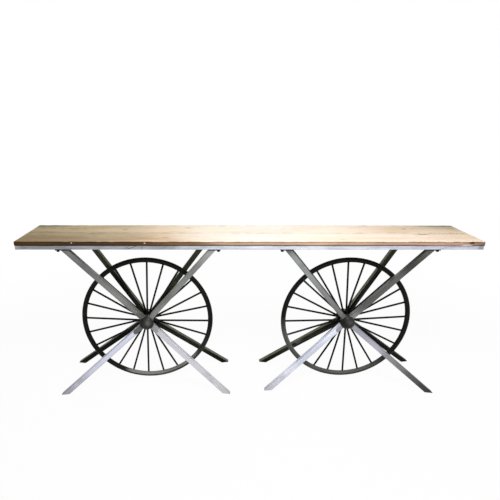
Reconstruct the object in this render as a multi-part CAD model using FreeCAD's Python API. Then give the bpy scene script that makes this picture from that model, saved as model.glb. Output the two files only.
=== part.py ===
import FreeCAD
import Part
import math
import os
from FreeCAD import Vector

# Wagon wheel table, in millimetres. The origin is on the floor under the middle of the top,
# +X runs along the table, -Y faces the viewer and +Z is up.

# Top: two planks side by side
table_length = 2140.0
table_width = 300.0
table_height = 800.0
board_thickness = 19.0
board_joint = 1.0
board_edge_radius = 1.5
board_overhang = 2.0

# Frame under the top, of square tube
rail_size = 20.0
rail_wall = 1.5
rail_corner_radius = 2.0
cross_bar_spacing = 500.0
cross_bar_count = 3

# Screws that hold the boards down on the bars
board_screw_shank_radius = 2.25
board_screw_head_radius = 4.5
board_screw_head_height = 2.5
board_screw_bite = 14.0

# Wheels
wheel_spacing = 1023.0
wheel_floor_clearance = 4.0
wheel_frame_clearance = 87.0
rim_tube_radius = 12.3
spoke_count = 24
spoke_radius = 4.8
spoke_edge_margin = 0.5

# How far each wheel stands turned from a spoke straight up, in degrees clockwise seen from the front
left_wheel_turn = 1.6
right_wheel_turn = -2.2

# Hub barrel, turned, with a raised seat for each row of spokes
barrel_half_length = 17.5
barrel_seat_radius = 26.0
barrel_seat_length = 10.0
barrel_waist_radius = 20.0
barrel_taper_length = 3.0
bush_wall = 3.0
bush_length = 14.0
bush_flange_radius = 20.0
bush_flange_thickness = 1.5

# Axle and what holds it
axle_radius = 10.0
axle_running_clearance = 0.05
bush_end_play = 0.3
axle_nut_thickness = 8.0
axle_nut_radius = 16.0
axle_end_stub = 2.0
axle_end_chamfer = 1.5

# Bosses that the legs are welded to, and their domed caps
boss_radius = 35.0
cap_spigot_length = 3.0
cap_wall = 2.0
cap_dome_height = 18.0

# Legs, of square tube
leg_size = 25.0
leg_wall = 2.0
leg_corner_radius = 2.5
leg_hub_setback = 5.2
foot_reach = 404.0
foot_inset = 6.5
leg_top_inset = 10.0

# The legs were set by eye before welding: each upper leg's end has its own distance along the
# table from its hub, two feet stand further along the table and one stands further in
left_front_outer_top_reach = 340.0
left_front_inner_top_reach = 334.0
left_rear_outer_top_reach = 330.0
left_rear_inner_top_reach = 325.0
right_front_outer_top_reach = 321.0
right_front_inner_top_reach = 340.0
right_rear_outer_top_reach = 312.0
right_rear_inner_top_reach = 350.0
right_front_outer_foot_reach = 412.0
right_rear_outer_foot_reach = 409.0
right_front_inner_foot_inset = 32.0

# Plates on the upper legs' ends, with one bolt outboard of each leg
leg_plate_thickness = 4.0
leg_plate_outboard = 38.0
leg_plate_inboard = 19.0
leg_plate_lap = 18.0
plate_bolt_offset = 28.0
plate_bolt_radius = 4.0
plate_bolt_hole_clearance = 0.5
plate_bolt_head_height = 8.0
plate_bolt_head_radius = 6.5
plate_bolt_head_chamfer = 0.6
plate_bolt_socket_radius = 3.4
plate_bolt_socket_depth = 4.0
rail_nut_height = 6.5
rail_nut_radius = 7.5
plate_bolt_past_nut = 2.0

# One overrun serves every cut
cut_overrun = 60.0

hexagon_sides = 6
full_turn = 360.0
diagonal = math.sqrt(2.0)

UP = Vector(0, 0, 1)
ACROSS = Vector(0, 1, 0)
ALONG = Vector(1, 0, 0)

# Heights and places that follow from the sizes above
frame_length = table_length - 2 * board_overhang
frame_width = table_width - 2 * board_overhang
rail_top = table_height - board_thickness
rail_bottom = rail_top - rail_size
leg_top = rail_bottom - leg_plate_thickness
rail_line = (frame_width - rail_size) / 2
rim_outer_radius = (rail_bottom - wheel_frame_clearance - wheel_floor_clearance) / 2
hub_height = rim_outer_radius + wheel_floor_clearance
rim_centre_radius = rim_outer_radius - rim_tube_radius
barrel_bore_radius = axle_radius + axle_running_clearance + bush_wall
spoke_station = barrel_half_length - spoke_radius - spoke_edge_margin
boss_inner_face = barrel_half_length + bush_flange_thickness + bush_end_play
leg_hub_station = boss_inner_face + leg_hub_setback
foot_splay = table_width / 2 - foot_inset
leg_top_splay = rail_line - leg_top_inset

# Legs by wheel, row and direction along X, -1 for left or front
top_reaches = {
    (-1, -1, -1): left_front_outer_top_reach,
    (-1, -1, 1): left_front_inner_top_reach,
    (-1, 1, -1): left_rear_outer_top_reach,
    (-1, 1, 1): left_rear_inner_top_reach,
    (1, -1, 1): right_front_outer_top_reach,
    (1, -1, -1): right_front_inner_top_reach,
    (1, 1, 1): right_rear_outer_top_reach,
    (1, 1, -1): right_rear_inner_top_reach,
}
own_foot_reaches = {(1, -1, 1): right_front_outer_foot_reach, (1, 1, 1): right_rear_outer_foot_reach}
own_foot_splays = {(1, -1, -1): table_width / 2 - right_front_inner_foot_inset}


def save(node, shape):
    shape.exportStep("parts/" + node + ".step")


def rounded_square(size, corner_radius):
    """Closed outline of a square with round corners, in the XY plane about the origin."""
    half = size / 2
    straight = half - corner_radius
    middle = corner_radius / diagonal
    edges = []
    for quarter in range(4):
        turn = FreeCAD.Rotation(UP, quarter * full_turn / 4)
        start = turn.multVec(Vector(half, -straight, 0))
        end = turn.multVec(Vector(half, straight, 0))
        bend = turn.multVec(Vector(straight + middle, straight + middle, 0))
        after = turn.multVec(Vector(straight, half, 0))
        edges.append(Part.makeLine(start, end))
        edges.append(Part.Arc(end, bend, after).toShape())
    return Part.Wire(edges)


def square_tube(start, end, radial, size, wall, corner_radius):
    """Tube from start to end. One pair of its walls is square to the radial direction."""
    run = end - start
    out = radial - run * (radial.dot(run) / run.dot(run))
    placement = FreeCAD.Placement(start, FreeCAD.Rotation(out, Vector(), run, "ZXY"))
    outer = Part.Face(rounded_square(size, corner_radius))
    inner = Part.Face(rounded_square(size - 2 * wall, corner_radius - wall / 2))
    section = outer.cut(inner).Faces[0]
    section.Placement = placement
    return section.extrude(run)


def disc(radius, near, far, centre):
    """Cylinder along Y from station near to station far, about the centre."""
    base = Vector(centre.x, near, centre.z)
    return Part.makeCylinder(radius, far - near, base, ACROSS)


def hexagon(radius, height, base, direction):
    corner = Vector(radius, 0, 0)
    points = []
    for side in range(hexagon_sides + 1):
        points.append(FreeCAD.Rotation(UP, side * full_turn / hexagon_sides).multVec(corner))
    face = Part.Face(Part.makePolygon(points))
    face.Placement = FreeCAD.Placement(base, FreeCAD.Rotation(UP, direction))
    return face.extrude(direction * height)


def slab_above(level):
    corner = Vector(-table_length, -table_length, level)
    return Part.makeBox(2 * table_length, 2 * table_length, table_height, corner)


def slab_below(level):
    corner = Vector(-table_length, -table_length, level - table_height)
    return Part.makeBox(2 * table_length, 2 * table_length, table_height, corner)


def mirror_y(shape):
    return shape.mirror(Vector(0, 0, 0), ACROSS)


# Top boards, with eased long edges

def board():
    """Front plank. The joint with the rear plank is on the middle of the top."""
    width = (table_width - board_joint) / 2
    corner = Vector(-table_length / 2, -table_width / 2, rail_top)
    plank = Part.makeBox(table_length, width, board_thickness, corner)
    long_edges = [e for e in plank.Edges if abs(e.Length - table_length) < board_edge_radius]
    upper = [e for e in long_edges if e.CenterOfMass.z > rail_top + board_thickness / 2]
    return plank.makeFillet(board_edge_radius, upper)


# Frame rails, mitred where the long rails meet the end rails

def long_rail():
    start = Vector(-frame_length / 2, -rail_line, rail_top - rail_size / 2)
    end = Vector(frame_length / 2, -rail_line, rail_top - rail_size / 2)
    tube = square_tube(start, end, ACROSS, rail_size, rail_wall, rail_corner_radius)
    for side in (-1, 1):
        tube = tube.cut(mitre_wedge(side, True))
    return tube


def end_rail(side):
    x = side * (frame_length - rail_size) / 2
    start = Vector(x, -frame_width / 2, rail_top - rail_size / 2)
    end = Vector(x, frame_width / 2, rail_top - rail_size / 2)
    tube = square_tube(start, end, ALONG, rail_size, rail_wall, rail_corner_radius)
    wedge = mitre_wedge(side, False)
    return tube.cut(wedge).cut(mirror_y(wedge))


def mitre_wedge(side, off_long_rail):
    """Triangular block on one side of the mitre line at a front corner of the frame."""
    corner = Vector(side * frame_length / 2, -frame_width / 2, rail_bottom - cut_overrun)
    inward = Vector(-side, 1, 0)
    outer = corner - inward * cut_overrun
    inner = corner + inward * (rail_size + cut_overrun)
    if off_long_rail:
        third = Vector(outer.x, inner.y, outer.z)
    else:
        third = Vector(inner.x, outer.y, outer.z)
    face = Part.Face(Part.makePolygon([outer, inner, third, outer]))
    return face.extrude(UP * (rail_size + 2 * cut_overrun))


def cross_bar_places():
    first = -cross_bar_spacing * (cross_bar_count - 1) / 2
    return [first + i * cross_bar_spacing for i in range(cross_bar_count)]


def cross_bar(x):
    inner = frame_width / 2 - rail_size
    start = Vector(x, -inner, rail_top - rail_size / 2)
    end = Vector(x, inner, rail_top - rail_size / 2)
    return square_tube(start, end, ALONG, rail_size, rail_wall, rail_corner_radius)


def board_screw_places():
    end_x = (frame_length - rail_size) / 2
    places = []
    for x in [-end_x] + cross_bar_places() + [end_x]:
        for side in (-1, 1):
            places.append(Vector(x, side * table_width / 4, rail_bottom))
    return places


def board_screw(place):
    """Pan-head wood screw, driven up through a bar."""
    length = rail_size + board_screw_bite
    shank = Part.makeCylinder(board_screw_shank_radius, length, place, UP)
    head_base = place - UP * board_screw_head_height
    head = Part.makeCylinder(board_screw_head_radius, board_screw_head_height, head_base, UP)
    return head.fuse(shank)


# Legs: each runs from the axis of the hub out to the floor or to the frame

def leg_ends(side, row, out, up):
    """Ends of a leg's centre line. side is the wheel, row the front or rear, out is +1 or -1 along X."""
    hub = Vector(side * wheel_spacing / 2, row * leg_hub_station, hub_height)
    if up:
        end = Vector(hub.x + out * top_reaches[side, row, out], row * leg_top_splay, leg_top)
    else:
        reach = own_foot_reaches.get((side, row, out), foot_reach)
        splay = own_foot_splays.get((side, row, out), foot_splay)
        end = Vector(hub.x + out * reach, row * splay, 0)
    return hub, end


def leg(side, row, out, up):
    """Square tube, coped on the boss, its far end cut level by the plate or the floor."""
    hub, end = leg_ends(side, row, out, up)
    run = end - hub
    past = end + run * (leg_size / abs(run.z))
    tube = square_tube(hub, past, ACROSS, leg_size, leg_wall, leg_corner_radius)
    core = disc(boss_radius, -cut_overrun, cut_overrun, hub)
    tube = tube.cut(core)
    if up:
        tube = tube.cut(slab_above(leg_top))
    else:
        tube = tube.cut(slab_below(0))
    return tube


def leg_plate(side, row, out):
    """Flat plate on an upper leg's end, lapping under the rail, with its bolt hole."""
    hub, end = leg_ends(side, row, out, True)
    inner_x = end.x - out * leg_plate_inboard
    outer_x = end.x + out * leg_plate_outboard
    rail_face = frame_width / 2
    inner_y = rail_face - rail_size - leg_plate_lap
    low = Vector(min(inner_x, outer_x), min(row * inner_y, row * rail_face), leg_top)
    width = leg_plate_inboard + leg_plate_outboard
    plate = Part.makeBox(width, rail_size + leg_plate_lap, leg_plate_thickness, low)
    hole_radius = plate_bolt_radius + plate_bolt_hole_clearance
    return plate.cut(bolt_hole(bolt_place(side, row, out), hole_radius))


def bolt_place(side, row, out):
    hub, end = leg_ends(side, row, out, True)
    return Vector(end.x + out * plate_bolt_offset, row * rail_line, leg_top)


def bolt_hole(place, radius):
    """Hole for a plate bolt through the plate and the rail's lower wall only."""
    depth = leg_plate_thickness + rail_size / 2
    return Part.makeCylinder(radius, depth + cut_overrun, place - UP * cut_overrun, UP)


def bolt_shank_length():
    return leg_plate_thickness + rail_wall + rail_nut_height + plate_bolt_past_nut


def plate_bolt(place):
    """Socket head cap screw, its head under the plate."""
    head_base = place - UP * plate_bolt_head_height
    head = Part.makeCylinder(plate_bolt_head_radius, plate_bolt_head_height, head_base, UP)
    middle = place.z - plate_bolt_head_height / 2
    lower_rim = [e for e in head.Edges if e.Closed and e.CenterOfMass.z < middle]
    head = head.makeChamfer(plate_bolt_head_chamfer, lower_rim)
    shank = Part.makeCylinder(plate_bolt_radius, bolt_shank_length(), place, UP)
    socket = hexagon(plate_bolt_socket_radius, plate_bolt_socket_depth, head_base, UP)
    return head.fuse(shank).cut(socket)


def rail_nut(place):
    base = Vector(place.x, place.y, rail_bottom + rail_wall)
    body = hexagon(rail_nut_radius, rail_nut_height, base, UP)
    return body.cut(bolt_hole(place, plate_bolt_radius))


# Hub: bosses, caps, axle, nuts, and the turning barrel with its bushes

def boss_outer_face():
    """The boss is as deep as the legs' walls reach where they meet it."""
    steepest = (foot_splay - leg_hub_station) / math.hypot(foot_reach, hub_height)
    drift = boss_radius * steepest
    half_depth = leg_size / 2 * math.sqrt(1 + steepest ** 2)
    return leg_hub_station + drift + half_depth


def boss(hub):
    """Front boss, with the spigot that its cap is pressed on and the bore for the axle."""
    outer = boss_outer_face()
    body = disc(boss_radius, -outer, -boss_inner_face, hub)
    spigot = disc(boss_radius - cap_wall, -outer - cap_spigot_length, -outer, hub)
    bore = disc(axle_radius, -outer - cut_overrun, cut_overrun, hub)
    return body.fuse(spigot).removeSplitter().cut(bore)


def dome_arc(radius, base, height):
    """Arc from the rim of a dome at station base to its crown on the axis, in the XY plane."""
    sphere_radius = (radius ** 2 + height ** 2) / (2 * height)
    centre = base - height + sphere_radius
    half_angle = math.asin(radius / sphere_radius) / 2
    middle = Vector(sphere_radius * math.sin(half_angle), centre - sphere_radius * math.cos(half_angle), 0)
    return Part.Arc(Vector(radius, base, 0), middle, Vector(0, base - height, 0)).toShape()


def cap(hub):
    """Front cap: a thin dome with a short skirt over the boss's spigot."""
    skirt = -boss_outer_face()
    lip = skirt - cap_spigot_length
    inner_radius = boss_radius - cap_wall
    outer_dome = dome_arc(boss_radius, lip, cap_dome_height)
    inner_dome = dome_arc(inner_radius, lip, cap_dome_height - cap_wall)
    crown = lip - cap_dome_height
    edges = [
        Part.makeLine(Vector(inner_radius, skirt, 0), Vector(boss_radius, skirt, 0)),
        Part.makeLine(Vector(boss_radius, skirt, 0), Vector(boss_radius, lip, 0)),
        outer_dome,
        Part.makeLine(Vector(0, crown, 0), Vector(0, crown + cap_wall, 0)),
        inner_dome,
        Part.makeLine(Vector(inner_radius, lip, 0), Vector(inner_radius, skirt, 0)),
    ]
    profile = Part.Face(Part.Wire(Part.__sortEdges__(edges)))
    shell = profile.revolve(Vector(0, 0, 0), ACROSS, full_turn)
    shell.translate(hub)
    return shell


def axle_half_length():
    return boss_outer_face() + cap_spigot_length + axle_nut_thickness + axle_end_stub


def axle(hub):
    half = axle_half_length()
    bar = disc(axle_radius, -half, half, hub)
    return bar.makeChamfer(axle_end_chamfer, [e for e in bar.Edges if e.Closed and len(e.Vertexes) == 1])


def axle_nut(hub):
    seat = Vector(hub.x, -boss_outer_face() - cap_spigot_length, hub.z)
    body = hexagon(axle_nut_radius, axle_nut_thickness, seat, -ACROSS)
    return body.cut(disc(axle_radius, -axle_half_length(), axle_half_length(), hub))


def barrel(hub):
    """Turned barrel: two raised seats for the spokes, a waist between them and a bore for the bushes."""
    half = barrel_half_length
    seat_end = half - barrel_seat_length
    waist_end = seat_end - barrel_taper_length
    outline = [
        Vector(barrel_bore_radius, -half, 0),
        Vector(barrel_seat_radius, -half, 0),
        Vector(barrel_seat_radius, -seat_end, 0),
        Vector(barrel_waist_radius, -waist_end, 0),
        Vector(barrel_waist_radius, waist_end, 0),
        Vector(barrel_seat_radius, seat_end, 0),
        Vector(barrel_seat_radius, half, 0),
        Vector(barrel_bore_radius, half, 0),
        Vector(barrel_bore_radius, -half, 0),
    ]
    turned = Part.Face(Part.makePolygon(outline)).revolve(Vector(0, 0, 0), ACROSS, full_turn)
    turned.translate(hub)
    return turned


def bush(hub):
    """Front bush: its flange stands between the barrel's end and the boss."""
    bore = axle_radius + axle_running_clearance
    flange_face = -barrel_half_length - bush_flange_thickness
    sleeve = disc(barrel_bore_radius, -barrel_half_length, -barrel_half_length + bush_length, hub)
    flange = disc(bush_flange_radius, flange_face, -barrel_half_length, hub)
    return flange.fuse(sleeve).cut(disc(bore, -cut_overrun, cut_overrun, hub))


# Wheel: a ring of round tube and 24 rods, set in turn at the front and the rear of the hub

def rim(hub):
    return Part.makeTorus(rim_centre_radius, rim_tube_radius, hub, ACROSS)


def first_spoke(row, hub, ring):
    """Rod straight up from a seat of the barrel, coped on the barrel and on the rim."""
    foot = hub + Vector(0, row * spoke_station, 0)
    head = hub + Vector(0, 0, rim_centre_radius)
    run = head - foot
    rod = Part.makeCylinder(spoke_radius, run.Length, foot, run)
    seat = disc(barrel_seat_radius, -cut_overrun, cut_overrun, hub)
    return rod.cut(seat).cut(ring)


def spokes(hub, ring, wheel_turn):
    """Even spokes stand at the front, odd ones at the rear. The whole set is turned as the wheel stands."""
    pattern = []
    for row, offset in ((-1, 0), (1, 1)):
        rod = first_spoke(row, hub, ring)
        for i in range(offset, spoke_count, 2):
            turned = rod.copy()
            turned.rotate(hub, ACROSS, i * full_turn / spoke_count + wheel_turn)
            pattern.append(turned)
    return Part.makeCompound(pattern)


def build_top_and_frame():
    screws = [board_screw(place) for place in board_screw_places()]
    screw_group = Part.makeCompound(screws)
    bolts = [bolt_place(s, r, o) for s in (-1, 1) for r in (-1, 1) for o in (-1, 1)]
    bolt_holes = Part.makeCompound([bolt_hole(p, plate_bolt_radius) for p in bolts])
    front_board = board().cut(screw_group)
    rail = long_rail().cut(bolt_holes)
    save("front_board", front_board)
    save("rear_board", mirror_y(board()).cut(screw_group))
    save("front_rail", rail)
    save("rear_rail", mirror_y(long_rail()).cut(bolt_holes))
    save("left_end_rail", end_rail(-1).cut(screw_group))
    save("right_end_rail", end_rail(1).cut(screw_group))
    for name, x in zip(("left", "middle", "right"), cross_bar_places()):
        save(name + "_cross_bar", cross_bar(x).cut(screw_group))
    save("board_screws", screw_group)
    save("plate_bolts", Part.makeCompound([plate_bolt(p) for p in bolts]))
    save("rail_nuts", Part.makeCompound([rail_nut(p) for p in bolts]))


def build_legs(name, side):
    for row_name, row in (("front", -1), ("rear", 1)):
        for out_name, out in (("outer", side), ("inner", -side)):
            start = name + "_" + row_name
            save(start + "_upper_" + out_name + "_leg", leg(side, row, out, True))
            save(start + "_lower_" + out_name + "_leg", leg(side, row, out, False))
            save(start + "_" + out_name + "_leg_plate", leg_plate(side, row, out))


def build_hub(name, side, wheel_turn):
    hub = Vector(side * wheel_spacing / 2, 0, hub_height)
    front_boss = boss(hub)
    front_cap = cap(hub)
    front_nut = axle_nut(hub)
    front_bush = bush(hub)
    save(name + "_front_boss", front_boss)
    save(name + "_rear_boss", mirror_y(front_boss))
    save(name + "_front_cap", front_cap)
    save(name + "_rear_cap", mirror_y(front_cap))
    save(name + "_axle", axle(hub))
    save(name + "_axle_nuts", Part.makeCompound([front_nut, mirror_y(front_nut)]))
    save(name + "_bushes", Part.makeCompound([front_bush, mirror_y(front_bush)]))
    save(name + "_hub_barrel", barrel(hub))
    ring = rim(hub)
    save(name + "_rim", ring)
    save(name + "_spokes", spokes(hub, ring, wheel_turn))


os.makedirs("parts", exist_ok=True)
build_top_and_frame()
build_legs("left", -1)
build_hub("left", -1, left_wheel_turn)
build_legs("right", 1)
build_hub("right", 1, right_wheel_turn)
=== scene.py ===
import math
import random
import bmesh
import bpy
from mathutils import Color, Matrix, Vector, noise


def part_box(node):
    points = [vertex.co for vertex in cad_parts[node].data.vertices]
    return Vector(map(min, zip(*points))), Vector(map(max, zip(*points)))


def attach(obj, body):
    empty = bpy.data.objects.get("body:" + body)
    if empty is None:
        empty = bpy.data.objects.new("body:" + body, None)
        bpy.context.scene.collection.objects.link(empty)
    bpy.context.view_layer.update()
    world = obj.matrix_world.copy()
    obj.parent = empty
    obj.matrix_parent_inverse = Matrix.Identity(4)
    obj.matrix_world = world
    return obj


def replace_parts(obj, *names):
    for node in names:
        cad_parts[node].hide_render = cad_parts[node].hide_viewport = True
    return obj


# Wagon wheel table: two planks on a galvanised frame, square-tube legs and two black spoked wheels.
# Lengths are in metres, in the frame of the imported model: X along the table, -Y to the front, Z up.
# Colours in the settings are display levels of 0 to 255.

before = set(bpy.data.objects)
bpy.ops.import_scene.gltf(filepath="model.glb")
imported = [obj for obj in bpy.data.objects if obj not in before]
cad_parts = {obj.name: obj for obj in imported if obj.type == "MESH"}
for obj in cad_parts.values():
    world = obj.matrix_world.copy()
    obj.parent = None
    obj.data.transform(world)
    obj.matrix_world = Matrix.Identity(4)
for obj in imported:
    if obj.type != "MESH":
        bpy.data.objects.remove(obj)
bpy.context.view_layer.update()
scene = bpy.context.scene
print("frame loaded:", len(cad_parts), "nodes")

# Places read from the frame

wheelSides = {"left": -1, "right": 1}
rowSides = {"front": -1, "rear": 1}
boardLow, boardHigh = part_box("front_board")
topHeight = boardHigh.z
boardUnder = boardLow.z
topLength = boardHigh.x - boardLow.x
topWidth = -2 * boardLow.y
railLow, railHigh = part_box("front_rail")
crossBars = ("left_cross_bar", "middle_cross_bar", "right_cross_bar")
hubs = {side: sum(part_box(side + "_rim"), Vector()) / 2 for side in wheelSides}


def legNames(row):
    return [f"{side}_{row}_{half}_{out}_leg" for side in wheelSides
            for half in ("upper", "lower") for out in ("outer", "inner")]


def ringOf(side):
    # the radius of a rim's middle line, and of its tube
    low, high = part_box(side + "_rim")
    tube = (high.y - low.y) / 2
    return (high.z - low.z) / 2 - tube, tube


def addObject(name, data):
    made = bpy.data.objects.new(name, data)
    scene.collection.objects.link(made)
    return made


# Helpers for node trees

class Field:
    # an output in a node tree, with which a formula is written as a plain sum
    def __init__(self, socket):
        self.socket = socket

    def __add__(self, other):
        return calc("ADD", self, other)

    def __sub__(self, other):
        return calc("SUBTRACT", self, other)

    def __rsub__(self, other):
        return calc("SUBTRACT", other, self)

    def __mul__(self, other):
        return calc("MULTIPLY", self, other)

    def __truediv__(self, other):
        return calc("DIVIDE", self, other)

    __radd__ = __add__
    __rmul__ = __mul__

    def ease(self, low, high, toLow=0.0, toHigh=1.0):
        # runs smoothly from toLow to toHigh between low and high, and is level beyond them
        values = {"Value": self, "From Min": low, "From Max": high, "To Min": toLow, "To Max": toHigh}
        return fieldFrom("ShaderNodeMapRange", values, interpolation_type="SMOOTHSTEP")


def setInputs(node, values):
    for key, value in values.items():
        if isinstance(value, Field):
            node.id_data.links.new(value.socket, node.inputs[key])
        else:
            node.inputs[key].default_value = value


def addNode(tree, kind, values=None, **settings):
    made = tree.nodes.new(kind)
    for key, value in settings.items():
        setattr(made, key, value)
    setInputs(made, values or {})
    return made


def fieldFrom(kind, values, output=0, **settings):
    # an output of a new node, made in the tree of the first field that it takes
    first = next(value for value in values.values() if isinstance(value, Field))
    return Field(addNode(first.socket.id_data, kind, values, **settings).outputs[output])


def calc(operation, *values):
    return fieldFrom("ShaderNodeMath", dict(enumerate(values)), operation=operation)


def most(first, *others):
    for other in others:
        first = calc("MAXIMUM", first, other)
    return first


def reachOf(first, second):
    return calc("SQRT", first * first + second * second)


def vector(x, y, z):
    return fieldFrom("ShaderNodeCombineXYZ", {"X": x, "Y": y, "Z": z})


def linear(colour):
    # the linear colour that a shader takes, from display levels or from one number for a grey
    if isinstance(colour, tuple):
        return (*Color([level / 255 for level in colour]).from_srgb_to_scene_linear(), 1.0)
    return (colour, colour, colour, 1.0) if isinstance(colour, float) else colour


def mix(share, first, second, blend="MIX"):
    # a colour mix has its share in socket 0, its colours in 6 and 7, and its result in 2
    values = {0: share, 6: linear(first), 7: linear(second)}
    return fieldFrom("ShaderNodeMix", values, 2, data_type="RGBA", blend_type=blend)


def darken(share, colour, shade):
    # multiplies the colour by a shade where share is 1
    return mix(share, colour, shade, "MULTIPLY")


def ramp(share, stops, interpolation="EASE"):
    made = addNode(share.socket.id_data, "ShaderNodeValToRGB", {"Fac": share})
    made.color_ramp.interpolation = interpolation
    elements = made.color_ramp.elements
    while len(elements) < len(stops):
        elements.new(1.0)
    for element, (place, colour) in zip(elements, stops):
        element.position = place
        element.color = linear(colour)
    return Field(made.outputs[0])


def noiseAt(place, scale, detail=3.0, roughness=0.55, shift=(0, 0, 0)):
    # three scales stretch the pattern
    if isinstance(scale, tuple):
        place = fieldFrom("ShaderNodeMapping", {"Vector": place, "Scale": scale, "Location": shift})
        scale = 1.0
    values = {"Vector": place, "Scale": scale, "Detail": detail, "Roughness": roughness}
    return fieldFrom("ShaderNodeTexNoise", values, "Fac")


def partsOf(tree, whole):
    return [Field(part) for part in addNode(tree, "ShaderNodeSeparateXYZ", {"Vector": whole}).outputs]


def facingParts(tree):
    return partsOf(tree, Field(addNode(tree, "ShaderNodeTexCoord").outputs["Normal"]))


def nodeOfType(tree, kind):
    return next(node for node in tree.nodes if node.type == kind)


def startMaterial(name):
    # a material, its node tree, and the place on the object, whole and in three parts
    material = bpy.data.materials.new(name)
    material.use_nodes = True
    tree = material.node_tree
    place = Field(addNode(tree, "ShaderNodeTexCoord").outputs["Object"])
    return material, tree, place, *partsOf(tree, place)


def finishSurface(material, colour, roughness, height, depth, strength, metallic=0.0, gloss=0.5):
    bump = fieldFrom("ShaderNodeBump", {"Height": height, "Distance": depth, "Strength": strength})
    values = {"Base Color": colour, "Roughness": roughness, "Normal": bump, "Metallic": metallic,
              "Specular IOR Level": gloss}
    setInputs(nodeOfType(material.node_tree, "BSDF_PRINCIPLED"), values)
    return material


# Camera and light

cameraPlace = {
    "eye": (-0.16766, -1.99478, 1.34625), "yaw": 0.01604, "pitch": 0.29842, "roll": -0.00503,
    "focalPixels": 425.9, "centreX": 221.03, "centreY": 246.16, "frame": 500, "sensor": 36.0}


def makeCamera(place):
    data = bpy.data.cameras.new("camera")
    camera = addObject("camera", data)
    stand = Matrix.Translation(place["eye"]) @ Matrix.Rotation(-place["yaw"], 4, "Z")
    tilt = Matrix.Rotation(math.pi / 2 - place["pitch"], 4, "X") @ Matrix.Rotation(-place["roll"], 4, "Z")
    camera.matrix_world = stand @ tilt
    data.sensor_width = place["sensor"]
    data.lens = place["focalPixels"] * place["sensor"] / place["frame"]
    data.shift_x = (place["frame"] / 2 - place["centreX"]) / place["frame"]
    data.shift_y = (place["centreY"] - place["frame"] / 2) / place["frame"]
    scene.camera = camera


studio = {
    "ambient": 0.34, "floorHalf": 30.0, "floorTone": 0.9, "floorGlow": 0.955, "shadowReach": (1.5, 2.6),
    "lamps": {
        "keyLamp": {"place": (0.4, -1.05, 2.05), "aim": (0.2, -0.05, 0.7), "size": (0.9, 0.5),
                    "power": 25.0, "colour": (1.0, 0.99, 0.975)},
        "frontLamp": {"place": (0.35, -3.2, 1.1), "aim": (0.2, 0, 0.5), "size": (0.9, 0.6),
                      "power": 29.0, "colour": (0.97, 0.98, 1.0)},
        "backLamp": {"place": (-0.4, 2.6, 2.2), "aim": (0, 0, 0.5), "size": (2.4, 1.2),
                     "power": 26.0, "colour": (1.0, 1.0, 1.0)}}}
white = (1, 1, 1, 1)


def seenDirectly(tree):
    # 1 for camera, glossy and transmission rays, 0 for the rays that carry light
    rays = addNode(tree, "ShaderNodeLightPath").outputs
    return most(*(Field(rays[f"Is {kind} Ray"]) for kind in ("Camera", "Glossy", "Transmission")))


def makeWorld(settings):
    world = bpy.data.worlds.new("studio")
    world.use_nodes = True
    strength = seenDirectly(world.node_tree).ease(0, 1, settings["ambient"], 1.0)
    setInputs(nodeOfType(world.node_tree, "BACKGROUND"), {"Color": white, "Strength": strength})
    scene.world = world


def makeFloor(settings):
    half, level = settings["floorHalf"], settings["floorTone"]
    mesh = bpy.data.meshes.new("floor")
    corners = [(a * half, b * half, 0) for a, b in ((-1, -1), (1, -1), (1, 1), (-1, 1))]
    mesh.from_pydata(corners, [], [(0, 1, 2, 3)])
    floor = addObject("floor", mesh)
    material, tree, place, *_ = startMaterial("floorWhite")
    shader = nodeOfType(tree, "BSDF_PRINCIPLED")
    setInputs(shader, {"Base Color": linear(level), "Roughness": 0.9, "Specular IOR Level": 0.1})
    glow = addNode(tree, "ShaderNodeEmission", {"Color": white, "Strength": 1.0})
    # near the table the floor takes its shadow, further out it is as white as the backdrop
    away = fieldFrom("ShaderNodeVectorMath", {0: place}, "Value", operation="LENGTH")
    share = seenDirectly(tree) * away.ease(*settings["shadowReach"], settings["floorGlow"], 1.0)
    shaders = {1: Field(shader.outputs[0]), 2: Field(glow.outputs[0])}
    both = fieldFrom("ShaderNodeMixShader", {0: share, **shaders})
    setInputs(nodeOfType(tree, "OUTPUT_MATERIAL"), {"Surface": both})
    mesh.materials.append(material)


def makeLamps(lamps):
    for name, lamp in lamps.items():
        data = bpy.data.lights.new(name, "AREA")
        data.shape = "RECTANGLE"
        data.size, data.size_y = lamp["size"]
        data.energy = lamp["power"]
        data.color = lamp["colour"]
        made = addObject(name, data)
        made.location = lamp["place"]
        made.rotation_euler = (Vector(lamp["aim"]) - made.location).to_track_quat("-Z", "Y").to_euler()
        made.visible_camera = False


makeCamera(cameraPlace)
makeWorld(studio)
makeFloor(studio)
makeLamps(studio["lamps"])
scene.view_settings.view_transform = "Standard"
print("camera, floor and lamps made")


# Wood of the planks: a solid grain that runs along X, with knots, flecks and a stained front edge, and
# painted light and shade: a bright middle, darker ends and a painted shadow under the edge

# each knot is its middle as shares of the top from its left end and its back edge, then its half length,
# half width and strength
plankSettings = {
    "front": {"pith": -0.062, "depth": 0.034, "seed": 3.1, "ringWidth": 0.0052, "knots": [
        (0.15, 0.56, 0.024, 0.008, 0.6), (0.04, 0.6, 0.03, 0.007, 0.5), (0.315, 0.78, 0.02, 0.01, 0.4),
        (0.565, 0.66, 0.016, 0.009, 0.25), (0.7, 0.86, 0.018, 0.009, 0.3),
        (0.891, 0.585, 0.04, 0.009, 0.95)]},
    "rear": {"pith": 0.085, "depth": 0.052, "seed": 8.7, "ringWidth": 0.006, "knots": [
        (0.36, 0.17, 0.018, 0.007, 0.6), (0.44, 0.05, 0.022, 0.006, 0.6), (0.869, 0.24, 0.015, 0.007, 1.0),
        (0.785, 0.03, 0.026, 0.006, 0.7), (0.215, 0.3, 0.022, 0.01, 0.45), (0.09, 0.22, 0.03, 0.012, 0.35)]},
}

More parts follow.
